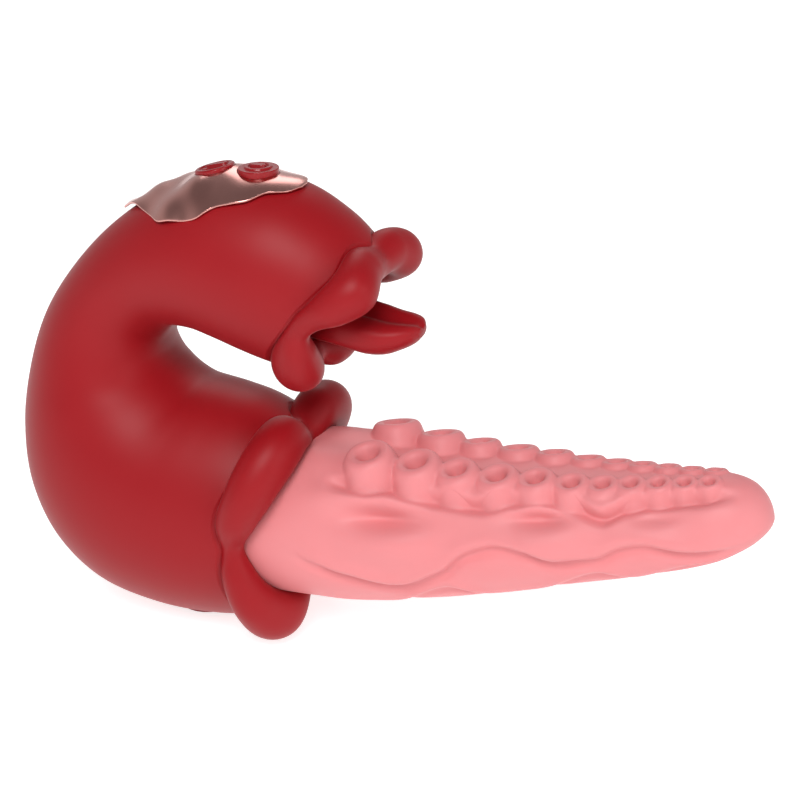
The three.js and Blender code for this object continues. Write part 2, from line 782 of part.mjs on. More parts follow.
const socketRings = [0.912, 0.93].map((u) =>
  rounds.map((phi) => headPoint(u, phi, CHASSIS_IN + 0.6)),
);
const socketBoss = place(rod(12 - coreWall - GAP, -17, -1, 20), coreOrigin, ARM_AXIS);
const socket = cut(
  join(ringsToShape(socketRings, false), socketBoss),
  place(rod(4, -40, 40, 14), coreOrigin, ARM_AXIS),
  place(rod(1.1, -14, 14, 12), coreScrewAt, across),
);
add("arm_socket", socket, greyPlastic);
for (const [name, side] of [
  ["core_screw_left", 1],
  ["core_screw_right", -1],
]) {
  add(name, place(rod(0.85, 6, 11.6, 10), coreScrewAt, new THREE.Vector3(0, side, 0)), steel);
}

// ---------- captive wires inside the chassis ----------
function wire(name, spots, material) {
  const curve = new THREE.CatmullRomCurve3(spots.map(([x, y, z]) => new THREE.Vector3(x, y, z)));
  const section = new THREE.Shape();
  section.absarc(0, 0, 0.6, 0, 2 * Math.PI, false);
  const options = { steps: 4 * (spots.length - 1), curveSegments: 3, extrudePath: curve };
  add(name, new THREE.ExtrudeGeometry(section, { ...options, bevelEnabled: false }), material);
}
wire(
  "battery_wire",
  [
    [-79, 3, -28.6],
    [-76.5, 6, -20.5],
    [-77.5, 7, -5],
    [-73.5, 7, 9],
    [-64, 7, 21],
    [-54, 6.5, 30.4],
    [-48, 4.5, 32.4],
  ],
  redWire,
);
wire(
  "arm_motor_wire",
  [
    [-45.8, 5, -33.5],
    [-43.6, 2, -37],
    [-38, 0, -36.4],
    [-26, 0, -34.3],
    [-13, -4, -31],
    [0, -6.9, -29],
    [8, -6.9, -28],
    [14.5, -5.6, -26.9],
  ],
  blackWire,
);
wire(
  "tongue_motor_wire",
  [
    [-46, -4.5, 31],
    [-41, -7, 26.5],
    [-38, -8, 22],
    [-36, -7, 18],
  ],
  blackWire,
);
wire(
  "charge_wire",
  [
    [-50.5, 4, -50.6],
    [-55, 8, -48.8],
    [-64, 10.5, -45],
    [-73, 10, -40],
    [-79, 6.5, -34.5],
    [-79.2, 2.5, -32],
  ],
  redWire,
);

export default root;
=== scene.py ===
"""Curved silicone personal massager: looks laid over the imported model.

Every table below is in millimetres about a point between the two mouths, with +X along the pink
arm and +Z up, and `to_frame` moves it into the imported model's frame in metres.
"""
import math

import bpy
import numpy as np
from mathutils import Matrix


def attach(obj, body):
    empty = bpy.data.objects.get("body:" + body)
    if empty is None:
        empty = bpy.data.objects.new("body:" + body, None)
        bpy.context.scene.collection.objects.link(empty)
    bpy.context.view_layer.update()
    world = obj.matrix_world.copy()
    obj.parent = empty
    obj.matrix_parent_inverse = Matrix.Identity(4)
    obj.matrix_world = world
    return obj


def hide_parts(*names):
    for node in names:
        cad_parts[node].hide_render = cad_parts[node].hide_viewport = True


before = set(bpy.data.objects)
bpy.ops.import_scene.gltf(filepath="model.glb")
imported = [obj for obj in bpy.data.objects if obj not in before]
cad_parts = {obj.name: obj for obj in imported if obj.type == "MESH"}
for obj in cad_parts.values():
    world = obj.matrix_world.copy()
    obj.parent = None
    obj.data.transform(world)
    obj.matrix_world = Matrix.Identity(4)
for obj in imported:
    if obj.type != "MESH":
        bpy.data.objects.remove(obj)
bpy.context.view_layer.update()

MM = 0.001
# The point between the mouths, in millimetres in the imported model's frame.
SHIFT = np.array([3.95, 0.0, 59.15])

# ---------------------------------------------------------------- sizes of the object

# Head sections from the upper mouth to the lower mouth:
# outer edge x, z, inner edge x, z, half width across Y.
HEAD = np.array([
    [-4.4, 32.8, -22.0, 4.9, 15.6],
    [-12.8, 40.2, -29.2, 6.2, 17.4],
    [-24.6, 45.7, -34.8, 7.8, 18.6],
    [-39.8, 46.5, -39.6, 9.4, 18.4],
    [-54.2, 41.3, -45.4, 11.0, 17.2],
    [-66.4, 32.9, -52.0, 10.8, 16.0],
    [-76.4, 22.6, -56.0, 7.6, 15.8],
    [-84.2, 11.0, -56.4, 3.6, 16.8],
    [-88.9, -2.4, -55.0, 0.6, 18.8],
    [-91.0, -16.7, -53.0, -1.2, 21.2],
    [-89.6, -31.9, -50.8, -2.4, 23.2],
    [-83.0, -45.5, -48.2, -3.2, 24.6],
    [-71.5, -55.1, -45.0, -3.3, 25.0],
    [-56.0, -58.8, -40.2, -3.8, 24.8],
    [-40.6, -58.6, -33.2, -5.2, 23.6],
    [-26.0, -55.5, -24.5, -9.0, 21.8],
])
# Rolled lips: degrees from the outer side of the C, distance of the roll's centre from the
# mouth axis, its distance forward of the mouth plane, the roll's radius, and how much longer
# than round it is along the mouth's axis.
UPPER_LIP = np.array([
    [0, 13.2, -0.4, 4.0, 1.0],
    [22, 15.6, -0.3, 4.6, 1.0],
    [45, 17.6, 1.5, 5.2, 1.0],
    [68, 16.2, -0.2, 4.2, 1.0],
    [84, 15.2, -2.4, 2.9, 1.0],
    [98, 14.8, -3.0, 2.6, 1.0],
    [114, 14.8, -1.6, 4.1, 1.05],
    [135, 15.2, -0.2, 5.2, 1.12],
    [155, 15.1, 0.2, 5.0, 1.06],
    [180, 12.8, -0.6, 2.8, 1.0],
])
LOWER_LIP = np.array([
    [0, 16.6, 0.6, 4.0, 1.0],
    [27, 22.6, 0.1, 6.2, 1.0],
    [50, 22.6, -2.0, 5.2, 1.0],
    [72, 21.2, -4.6, 3.8, 1.0],
    [90, 20.0, -6.2, 2.6, 1.0],
    [106, 21.8, -5.0, 4.4, 1.0],
    [125, 24.4, -1.9, 5.4, 1.0],
    [145, 25.6, 0.6, 5.8, 1.0],
    [163, 24.0, 0.9, 5.2, 1.0],
    [180, 19.4, 0.0, 4.0, 1.0],
])
# Thickness of the head's silicone wall.
SKIN_WALL = 2.4

# Arm sections: share of its length, ridge height, depth below the axis, half width.
ARM = np.array([
    [-0.075, 15.4, 17.0, 17.4],
    [0.0, 16.6, 17.6, 18.4],
    [0.1, 17.2, 18.6, 19.2],
    [0.18, 16.2, 18.6, 19.0],
    [0.28, 14.0, 18.4, 18.2],
    [0.37, 12.5, 17.7, 17.4],
    [0.47, 11.3, 16.2, 16.4],
    [0.6, 9.8, 14.3, 14.6],
    [0.75, 8.6, 12.1, 12.4],
    [0.87, 8.2, 9.5, 10.6],
    [1.0, 9.1, 5.0, 9.0],
])
ARM_BASE = np.array([-26.0, 0.0, -32.2])
ARM_TILT = math.radians(10.2)
ARM_LENGTH = 109.6
# Where the arm's skin starts, and the share of the length that it covers.
ARM_SKIN_START = -0.059
ARM_SKIN_SPAN = 1.0588
ARM_AXIS = np.array([math.cos(ARM_TILT), 0.0, math.sin(ARM_TILT)])
ARM_UP = np.array([-math.sin(ARM_TILT), 0.0, math.cos(ARM_TILT)])
# How far the cups lean outwards from upright.
CUP_LEAN = math.radians(13)
# Pairs of cups: distance along the arm, distance from the middle, height and radius of the rim.
CUP_PAIRS = [
    (25.5, 8.5, 18.6, 5.2),
    (36.0, 7.7, 16.3, 5.0),
    (45.0, 7.5, 14.4, 4.45),
    (53.8, 7.1, 13.0, 4.4),
    (62.1, 6.6, 12.1, 4.05),
    (69.6, 6.2, 11.0, 3.7),
    (76.1, 5.5, 10.4, 3.4),
    (81.9, 4.7, 10.2, 3.1),
    (87.5, 4.0, 10.0, 2.85),
    (92.8, 3.3, 9.8, 2.65),
    (97.9, 2.8, 9.7, 2.45),
]
# Lines that run along each side of the arm: distance along it, degrees round from the top.
SKIRT_LINE = np.array([
    [8, 40], [20, 44], [26, 45], [31, 41], [36, 44], [42, 47], [51, 50], [58, 44], [64, 40],
    [70, 44], [77, 59], [82, 47], [87, 41], [95, 36], [104, 30],
])
FLANK_LINE = np.array([
    [8, 96], [13, 103], [19, 112], [31, 125], [41, 113], [48, 97], [54, 92], [60, 97],
    [67, 110], [75, 110], [80, 101], [85, 98], [94, 113], [104, 118],
])
KEEL_LINE = np.array([
    [8, 150], [24, 158], [41, 130], [50, 153], [59, 155], [74, 130], [82, 152], [92, 140],
    [104, 150],
])

# Folds along the flank line and the keel line: height and half width of the swelling, depth
# and half width of the hollow.
FLANK_FOLD = (0.7, 2.6, 1.5, 1.5)
KEEL_FOLD = (0.5, 2.4, 0.8, 1.4)
# Swellings of the shoulder, and dimples below it: distance along the arm, degrees round from
# the top, half length, half height, and how high or how deep.
SHOULDER_SWELLINGS = (
    (26, 53, 12, 3.2, 2.4),
    (62.5, 50, 5.5, 3.0, 1.9),
)
DIMPLES = (
    (30, 65, 7.5, 2.7, 3.7),
    (64, 61, 5.4, 2.3, 3.1),
    (88, 61, 5.0, 1.8, 1.1),
)

# Tongue stations: x, z of the middle, half width, depth below the middle, height of the edges.
TONGUE = np.array([
    [-20.5, 15.2, 6.2, 2.4, 3.4],
    [-15.5, 15.5, 7.6, 3.0, 3.9],
    [-11.0, 15.6, 8.3, 3.7, 5.6],
    [-6.0, 15.7, 8.2, 4.9, 4.8],
    [-2.0, 16.0, 7.6, 4.9, 3.5],
    [1.6, 16.3, 6.4, 3.6, 3.0],
    [3.9, 16.6, 4.6, 2.5, 2.4],
    [5.2, 16.8, 2.1, 1.2, 1.1],
])

# The web meets the head at this share of it and this deep below its outer face.
WEB_SHARE = 0.05
WEB_DEPTH = 3.2
WEB_THICKNESS = 1.2
# Its slot round the tongue's root: the middle, half the height and half the width.
SLOT_MIDDLE = np.array([-21.6, 0.0, 15.8])
SLOT_HALF_HEIGHT = 4.9
SLOT_HALF_WIDTH = 8.2

# The metal panel runs along the outside of the head between these shares of it.
PANEL_START = 0.119
PANEL_END = 0.316
# Half width of the metal panel in degrees round the head, along its length.
PANEL_EDGE = np.array([
    [0.0, 4], [0.03, 13], [0.08, 19], [0.125, 23], [0.15, 27], [0.18, 32], [0.25, 37],
    [0.33, 41], [0.37, 45], [0.41, 49], [0.48, 50.5], [0.57, 50], [0.66, 48], [0.725, 40],
    [0.8, 30], [0.865, 21], [0.93, 14], [1.0, 7],
])
# Heights over the head of the panel's outer face, its inner face, the ripples in it and the
# lift of its rear end.
PANEL_TOP = 0.88
PANEL_UNDER = 0.36
PANEL_RIPPLE = 0.42
PANEL_LIFT = 0.8
# The charging disc under the head: x and z of its middle.
PAD_SPOT = (-48.5, -59.1)
PAD_RADIUS = 7.0
# The buttons: share of the head's length, and degrees that each leans back from upright.
POWER_AT = (0.167, 2)
MODE_AT = (0.211, 14)
BUTTON_RADIUS = 4.4
# Radius of the rounding of a button's edge, and the gap round it in the panel's hole.
BUTTON_EDGE = 0.25
HOLE_GAP = 0.12
# Pits: how much wider than the button or the disc, and how deep, first in the outer face of
# the skin and then in its inside wall.
BUTTON_PIT = ((0.9, 2.4), (2.0, 1.0))
PAD_PIT = ((0.2, 2.3), (1.5, 0.7))


# ---------------------------------------------------------------- curves and surfaces

def smooth_step(x):
    """0 below 0, 1 above 1 and an even S between them: 3x^2 - 2x^3."""
    x = np.clip(x, 0.0, 1.0)
    return x * x * (3 - 2 * x)


def through(table, t):
    """Uniform Catmull-Rom through the rows of a table at t from 0 to 1."""
    padded = np.vstack([2 * table[0] - table[1], table, 2 * table[-1] - table[-2]])
    n = len(table) - 1
    x = np.clip(np.asarray(t, float), 0, 1) * n
    i = np.minimum(x.astype(int), n - 1)
    f = (x - i)[..., None]
    a, b, c, d = padded[i], padded[i + 1], padded[i + 2], padded[i + 3]
    square = (2 * a - 5 * b + 4 * c - d) * f ** 2
    cube = (3 * b - a - 3 * c + d) * f ** 3
    return 0.5 * (2 * b + (c - a) * f + square + cube)


def look_up(table, x, level_ends):
    """Cubic Hermite curve through rows whose first column is the place.

    The slope at a row is the mean of the slopes on its two sides, and at the two ends it is
    either level or the slope of the one side there is.
    """
    place, value = table[:, 0], table[:, 1:]
    step = np.diff(value, axis=0) / np.diff(place)[:, None]
    slope = np.zeros_like(value)
    slope[1:-1] = (step[1:] + step[:-1]) / 2
    if not level_ends:
        slope[0], slope[-1] = step[0], step[-1]
    i = np.clip(np.searchsorted(place, x, side="right") - 1, 0, len(place) - 2)
    w = place[i + 1] - place[i]
    f = ((x - place[i]) / w)[..., None]
    w = w[..., None]
    start = (2 * f ** 3 - 3 * f ** 2 + 1) * value[i] + (f ** 3 - 2 * f ** 2 + f) * w * slope[i]
    end = (3 * f ** 2 - 2 * f ** 3) * value[i + 1] + (f ** 3 - f ** 2) * w * slope[i + 1]
    return start + end


def to_frame(points):
    """Points in millimetres, moved by SHIFT, in metres."""
    return (points + SHIFT) * MM


def head_frame(u):
    """Middle, outward direction and half sizes of the head section at share u."""
    row = through(HEAD, u)
    zero = np.zeros_like(row[..., 0])
    outer = np.stack([row[..., 0], zero, row[..., 1]], -1)
    inner = np.stack([row[..., 2], zero, row[..., 3]], -1)
    reach = (outer - inner) / 2
    half_height = np.linalg.norm(reach, axis=-1)
    return (outer + inner) / 2, reach / half_height[..., None], half_height, row[..., 4]


def head_point(u, phi, depth):
    """Oval section: middle + (height - depth) cos(phi) outward + (width - depth) sin(phi) Y."""
    middle, outward, half_height, half_width = head_frame(u)
    point = middle + ((half_height - depth) * np.cos(phi))[..., None] * outward
    point[..., 1] = (half_width - depth) * np.sin(phi)
    return point


def mouth_frame(mouth):
    """Middle, axis out of the mouth, outward direction and half sizes of a mouth."""
    middle, outward, half_height, half_width = head_frame(np.array(float(mouth)))
    axis = np.array([outward[2], 0.0, -outward[0]]) * (1 if mouth == 0 else -1)
    return middle, axis, outward, float(half_height), float(half_width)


def lip_rows(mouth, phi):
    """The lip table's four measures at phi, which is measured from the outer side of the C."""
    turn = np.degrees(np.abs(np.arctan2(np.sin(phi), np.cos(phi))))
    return np.moveaxis(look_up(UPPER_LIP if mouth == 0 else LOWER_LIP, turn, True), -1, 0)


def lip_point(mouth, phi, t):
    """A roll of silicone round a mouth: a circle of the roll's radius about the roll's centre,
    swept from the crease behind it (t = 0), over the outside, to inside the mouth (t = 1)."""
    middle, axis, outward, half_height, half_width = mouth_frame(mouth)
    away, ahead, roll, stretch = lip_rows(mouth, phi)
    oval = half_height * half_width / np.hypot(
        half_width * np.cos(phi), half_height * np.sin(phi))
    steepest, last = 0.92, -0.72 * math.pi
    lean = np.clip((oval - away) / roll, -steepest, steepest)
    first = math.pi - np.arcsin(lean)
    angle = first + (last - first) * t
    radius = away + roll * np.sin(angle)
    radial = np.cos(phi)[..., None] * outward + np.sin(phi)[..., None] * np.array([0.0, 1.0, 0.0])
    forward = (ahead + roll * stretch * np.cos(angle))[..., None] * axis
    return middle + forward + radius[..., None] * radial


def mesh_object(name, points, faces, material, body):
    """A smooth closed mesh of quads from points in millimetres, with its faces outwards.

    The sum of the tetrahedra under the faces is negative when they all point inwards, and
    then they are turned round. A quad that has the same corner twice running is a triangle.
    """
    first, second, third, fourth = [points[faces[:, k]] for k in range(4)]
    across = np.cross(second, third) + np.cross(third, fourth)
    if np.einsum("ij,ij->i", first, across).sum() < 0:
        faces = faces[:, ::-1]
    mesh = bpy.data.meshes.new(name)
    corners = [
        [face[k] for k in range(4) if face[k] != face[k - 1]] for face in faces.tolist()]
    mesh.from_pydata(to_frame(points).tolist(), [], corners)
    mesh.polygons.foreach_set("use_smooth", [True] * len(mesh.polygons))
    mesh.materials.append(material)
    mesh.update()
    piece = bpy.data.objects.new(name, mesh)
    bpy.context.scene.collection.objects.link(piece)
    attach(piece, body)
    return piece


def grid_faces(rows, columns, close_rows, close_columns):
    """Quads between neighbouring rows and columns of a grid of points."""
    i = np.arange(rows if close_rows else rows - 1)[:, None]
    j = np.arange(columns if close_columns else columns - 1)[None, :]
    below, beside = (i + 1) % rows, (j + 1) % columns
    quads = [i * columns + j, i * columns + beside, below * columns + beside, below * columns + j]
    return np.stack([np.broadcast_to(q, (i.size, j.size)) for q in quads], -1).reshape(-1, 4)


def ring_surface(name, rings, material, body):
    """Rings of points joined one to the next, closed at each end by a fan to the middle."""
    rows, columns = rings.shape[:2]
    faces = grid_faces(rows, columns, False, True)
    points = np.concatenate([rings.reshape(-1, 3), rings[:1].mean(1), rings[-1:].mean(1)])
    j = np.arange(columns)
    k = (j + 1) % columns
    near, far = rows * columns, rows * columns + 1
    last = (rows - 1) * columns
    start = np.stack([np.full(columns, near), k, j, j], -1)
    end = np.stack([np.full(columns, far), last + j, last + k, last + k], -1)
    return mesh_object(name, points, np.vstack([faces, start, end]), material, body)


# ---------------------------------------------------------------- materials

def linear(hex_colour):
    """sRGB hex to linear red, green, blue and 1."""
    parts = [int(hex_colour[i:i + 2], 16) / 255 for i in (1, 3, 5)]
    return [p / 12.92 if p <= 0.04045 else ((p + 0.055) / 1.055) ** 2.4 for p in parts] + [1.0]


def add_node(tree, kind, settings=None, sockets=None, links=None):
    """Adds one node, sets its properties and socket values, and links sockets from others."""
    node = tree.nodes.new(kind)
    for key, value in (settings or {}).items():
        setattr(node, key, value)
    for key, value in (sockets or {}).items():
        node.inputs[key].default_value = value
    for key, (source, output) in (links or {}).items():
        tree.links.new(source.outputs[output], node.inputs[key])
    return node


def finish_of(name, sockets, colours, patch_mm, roughness, bumps):
    """A surface whose colour and roughness drift over patches and that has layers of bump.

    colours are two hex values, patch_mm the size of a patch, roughness its low and high value,
    and bumps a list of (size in mm, height in mm).
    """
    material = bpy.data.materials.new(name)
    material.use_nodes = True
    tree = material.node_tree
    tree.nodes.clear()
    place = add_node(tree, "ShaderNodeTexCoord")
    patch = add_node(
        tree, "ShaderNodeTexNoise", None,
        {"Scale": 1 / (patch_mm * MM), "Detail": 3.0, "Roughness": 0.5},
        {"Vector": (place, "Object")})
    tint = add_node(
        tree, "ShaderNodeMix", {"data_type": "RGBA"}, None, {"Factor": (patch, "Fac")})
    tint.inputs["A"].default_value = linear(colours[0])
    tint.inputs["B"].default_value = linear(colours[1])
    shine = add_node(
        tree, "ShaderNodeMapRange", None,
        {"From Min": 0.3, "From Max": 0.7, "To Min": roughness[0], "To Max": roughness[1]},
        {"Value": (patch, "Fac")})
    shader = add_node(tree, "ShaderNodeBsdfPrincipled", None, sockets)
    tree.links.new(tint.outputs["Result"], shader.inputs["Base Color"])
    tree.links.new(shine.outputs["Result"], shader.inputs["Roughness"])
    previous = None
    for size_mm, height_mm in bumps:
        grain = add_node(
            tree, "ShaderNodeTexNoise", None,
            {"Scale": 1 / (size_mm * MM), "Detail": 2.0},
            {"Vector": (place, "Object")})
        bump = add_node(
            tree, "ShaderNodeBump", None,
            {"Distance": height_mm * MM, "Strength": 1.0}, {"Height": (grain, "Fac")})
        if previous:
            tree.links.new(previous.outputs["Normal"], bump.inputs["Normal"])
        previous = bump
    if previous:
        tree.links.new(previous.outputs["Normal"], shader.inputs["Normal"])
    output = add_node(tree, "ShaderNodeOutputMaterial")
    tree.links.new(shader.outputs["BSDF"], output.inputs["Surface"])
    return material


# Moulded liquid silicone rubber, IOR about 1.41: a satin skin with a dusty sheen at grazing
# angles, a trace of light passing through it, and a very fine texture from the blasted mould.
red_silicone = finish_of(
    "red liquid silicone",
    {"IOR": 1.41, "Specular IOR Level": 0.32, "Subsurface Weight": 0.08,
     "Subsurface Radius": (1.0, 0.12, 0.1), "Subsurface Scale": 0.0015, "Sheen Weight": 0.06,
     "Sheen Roughness": 0.3, "Sheen Tint": linear("#d8c4c4")},
    ("#900c15", "#960f17"), 24, (0.44, 0.50), [(0.5, 0.004)])
# The same rubber on the buttons, from a polished part of the mould.
button_silicone = finish_of(
    "polished red silicone",
    {"IOR": 1.41, "Sheen Weight": 0.05, "Sheen Roughness": 0.35},
    ("#8e0a12", "#960d16"), 12, (0.24, 0.3), [(0.5, 0.002)])
# The same rubber on the arm with less pigment, so it is paler and light goes deeper into it.
pink_silicone = finish_of(
    "pink liquid silicone",
    {"IOR": 1.41, "Specular IOR Level": 0.4, "Subsurface Weight": 0.08,
     "Subsurface Radius": (1.0, 0.4, 0.35), "Subsurface Scale": 0.0015, "Sheen Weight": 0.08,
     "Sheen Roughness": 0.35, "Sheen Tint": linear("#d8c4c4")},
    ("#da8184", "#de878a"), 24, (0.44, 0.52), [(0.5, 0.004)])
# Rose-gold plated sheet, satin polished: soft reflections that drift a little in sharpness
# over broad patches, and a fine grain.
rose_gold = finish_of(
    "satin rose gold plate",
    {"Metallic": 1.0},
    ("#d0928b", "#dba199"), 14, (0.2, 0.27), [(0.4, 0.003)])
# Injection-moulded ABS, IOR 1.54: a fine spark-eroded grain that takes the gloss off the
# inner shells and the charging disc.
black_abs = finish_of(
    "black moulded ABS", {"IOR": 1.54}, ("#1d1e21", "#26272b"), 16, (0.48, 0.6), [(0.6, 0.02)])
red_abs = finish_of(
    "red moulded ABS", {"IOR": 1.54}, ("#7d0d14", "#891119"), 16, (0.48, 0.6), [(0.6, 0.02)])
grey_abs = finish_of(
    "grey moulded ABS", {"IOR": 1.54}, ("#7d8085", "#8b8e93"), 16, (0.45, 0.56), [(0.6, 0.02)])
# Moulded acetal, IOR 1.48: waxy white and smoother than the ABS.
white_acetal = finish_of(
    "white moulded acetal", {"IOR": 1.48}, ("#dedcd6", "#e8e6e0"), 16, (0.34, 0.44),
    [(0.8, 0.01)])
# Circuit board: glass-epoxy under green solder mask, slightly uneven over the weave.
solder_mask = finish_of(
    "green solder mask", {"IOR": 1.52, "Coat Weight": 0.4, "Coat Roughness": 0.15},
    ("#14502f", "#1b6540"), 3, (0.28, 0.4), [(0.5, 0.015)])
# Turned and ground steel on shafts, weights and motor cans: grey and fairly bright.
ground_steel = finish_of(
    "ground steel", {"Metallic": 1.0}, ("#a9adb1", "#bfc3c6"), 5, (0.22, 0.36), [(0.3, 0.004)])
# Hard gold plating on brass contact pins: yellow, and brighter than the steel.
plated_gold = finish_of(
    "hard gold plate", {"Metallic": 1.0}, ("#d9ac52", "#e6bf6b"), 4, (0.18, 0.28),
    [(0.3, 0.002)])
# Heat-shrunk PVC sleeve round the cell, IOR 1.53: glossy, with slow waves where it shrank.
cell_wrap = finish_of(
    "blue shrink wrap", {"IOR": 1.53}, ("#22508f", "#2b5fa6"), 9, (0.2, 0.32), [(3.0, 0.03)])
# Extruded PVC wire insulation, IOR 1.53: smooth and half dull.
red_pvc = finish_of(
    "red wire insulation", {"IOR": 1.53}, ("#a71f1c", "#b92824"), 5, (0.35, 0.45), [(0.6, 0.01)])
black_pvc = finish_of(
    "black wire insulation", {"IOR": 1.53}, ("#141416", "#1d1d20"), 5, (0.35, 0.45),
    [(0.6, 0.01)])

NODE_FINISHES = {
    "charge_pad": red_abs, "chassis_left": black_abs, "chassis_right": black_abs,
    "controller_chip": black_abs, "arm_core": black_abs,
    "power_switch": grey_abs, "mode_switch": grey_abs, "battery_tray": grey_abs,
    "arm_socket": grey_abs,
    "tongue_carrier": white_acetal, "arm_motor_collar": white_acetal,
    "main_board": solder_mask, "charge_board": solder_mask,
    "tongue_motor": ground_steel, "tongue_weight": ground_steel,
    "tongue_pivot_pin": ground_steel, "arm_motor": ground_steel, "arm_weight": ground_steel,
    "core_screw_left": ground_steel, "core_screw_right": ground_steel,
    "chassis_screw_1": ground_steel, "chassis_screw_2": ground_steel,
    "chassis_screw_3": ground_steel, "chassis_screw_4": ground_steel,
    "charge_contact_1": plated_gold, "charge_contact_2": plated_gold,
    "battery": cell_wrap,
    "battery_wire": red_pvc, "charge_wire": red_pvc,
    "arm_motor_wire": black_pvc, "tongue_motor_wire": black_pvc,
}
for node_name, node_finish in NODE_FINISHES.items():
    for material_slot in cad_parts[node_name].material_slots:
        material_slot.material = node_finish


# ---------------------------------------------------------------- the head's silicone skin

def button_frame(spot):
    """Place on the head's outer line, and the direction the button faces."""
    share, lean = spot
    row = through(HEAD, np.array(share))
    lean = math.radians(lean)
    return np.array([row[0], 0.0, row[1]]), np.array([-math.sin(lean), 0.0, math.cos(lean)])


def sink_round(points, spot, up, radius, depth):
    """Sinks the points within radius of the line through spot by depth, with a soft rim.

    Only points that are within reach of spot along the line are sunk, so the far side of the
    head stays where it is.
    """
    reach, rim = 8, 0.7
    offset = points - spot
    along = offset @ up
    away = np.linalg.norm(offset - along[..., None] * up, axis=-1)
    near = (np.abs(along) < reach) * smooth_step((radius + rim / 2 - away) / rim)
    return points - (near * depth)[..., None] * up


def sink_pits(points, side):
    """Sinks the pits of both buttons and of the disc: side 0 is outside and 1 is inside."""
    gap, depth = BUTTON_PIT[side]
    for spot, up in (button_frame(POWER_AT), button_frame(MODE_AT)):
        points = sink_round(points, spot, up, BUTTON_RADIUS + gap, depth)
    gap, depth = PAD_PIT[side]
    pad, down = np.array([PAD_SPOT[0], 0.0, PAD_SPOT[1]]), np.array([0.0, 0.0, -1.0])
    return sink_round(points, pad, down, PAD_RADIUS + gap, depth)


def head_skin():
    """Rows of rings: inside of the upper lip, the lip, the head, the lower lip, the inside wall.

    Each column of the head runs from just behind the crease of one lip to just behind the
    other, so its rows meet them, and its rows are closer together at both ends.
    """
    columns, head_rows, lip_steps, wall_rows = 240, 216, 40, 110
    near_mouth, tuck = 0.16, 0.4
    phi = np.linspace(0, 2 * math.pi, columns, endpoint=False)
    ends = []
    for mouth in (0, 1):
        middle, axis = mouth_frame(mouth)[:2]
        crease = (lip_point(mouth, phi, 0.0) - middle) @ axis
        shares = np.linspace(0, near_mouth, 60)
        if mouth:
            shares = 1 - shares
        behind = (head_point(shares[:, None], phi[None, :], 0.0) - middle) @ axis
        ends.append([
            np.interp(crease[j] - tuck, behind[::-1, j], shares[::-1]) for j in range(columns)])
    start, end = np.array(ends[0]), np.array(ends[1])
    step = np.linspace(0, 1, head_rows)[:, None]
    step = 0.55 * step + 0.45 * (1 - np.cos(math.pi * step)) / 2
    outside = sink_pits(head_point(start + (end - start) * step, phi + 0 * step, 0.0), 0)
    turn = np.linspace(0, 1, lip_steps)[:, None]
    upper = lip_point(0, phi + 0 * turn, 1 - turn)
    lower = lip_point(1, phi + 0 * turn, turn)
    wall = np.linspace(0.93, 0.07, wall_rows)[:, None]
    inside = sink_pits(head_point(wall, phi + 0 * wall, SKIN_WALL), 1)
    rings = np.concatenate([upper, outside, lower, inside])
    faces = grid_faces(len(rings), columns, True, True)
    return mesh_object("head_skin", rings.reshape(-1, 3), faces, red_silicone, "chassis")


skin = head_skin()
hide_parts("body_skin")


# ---------------------------------------------------------------- the arm

def arm_section(share, phi):
    """Half ovals above and below the arm's axis, with a valley between the two top ridges.

    The last part of the arm shrinks to a round nose as sqrt(1 - x^2.4). The valley is
    exp(-(turn / 20 degrees)^2) deep and fades toward the tip. The upper oval is drawn taller
    than the ridge height, because the ridges lie beside the middle.
    """
    nose_start, nose_power = 0.88, 2.4
    valley_depth, valley_width, over_middle = 0.1, 20, 1.16
    ridge, depth, width = np.moveaxis(look_up(ARM, share, False), -1, 0)
    nose = np.clip((share - nose_start) / (1 - nose_start), 0, 1)
    cap = np.sqrt(np.clip(1 - nose ** nose_power, 0, 1))
    turn = np.degrees(np.abs(phi))
    fade = np.clip((0.95 - share) / 0.6, 0, 1)
    valley = valley_depth * np.exp(-(turn / valley_width) ** 2) * fade
    high = np.cos(phi)
    up = np.where(high > 0, ridge * over_middle * high * (1 - valley), depth * high)
    return share * ARM_LENGTH, up * cap, width * np.sin(phi) * cap


def mound(x, y, wide, tall):
    """A round hill of height 1 at the middle: exp(-(x / wide)^2 - (y / tall)^2)."""
    return np.exp(-(x / wide) ** 2 - (y / tall) ** 2)


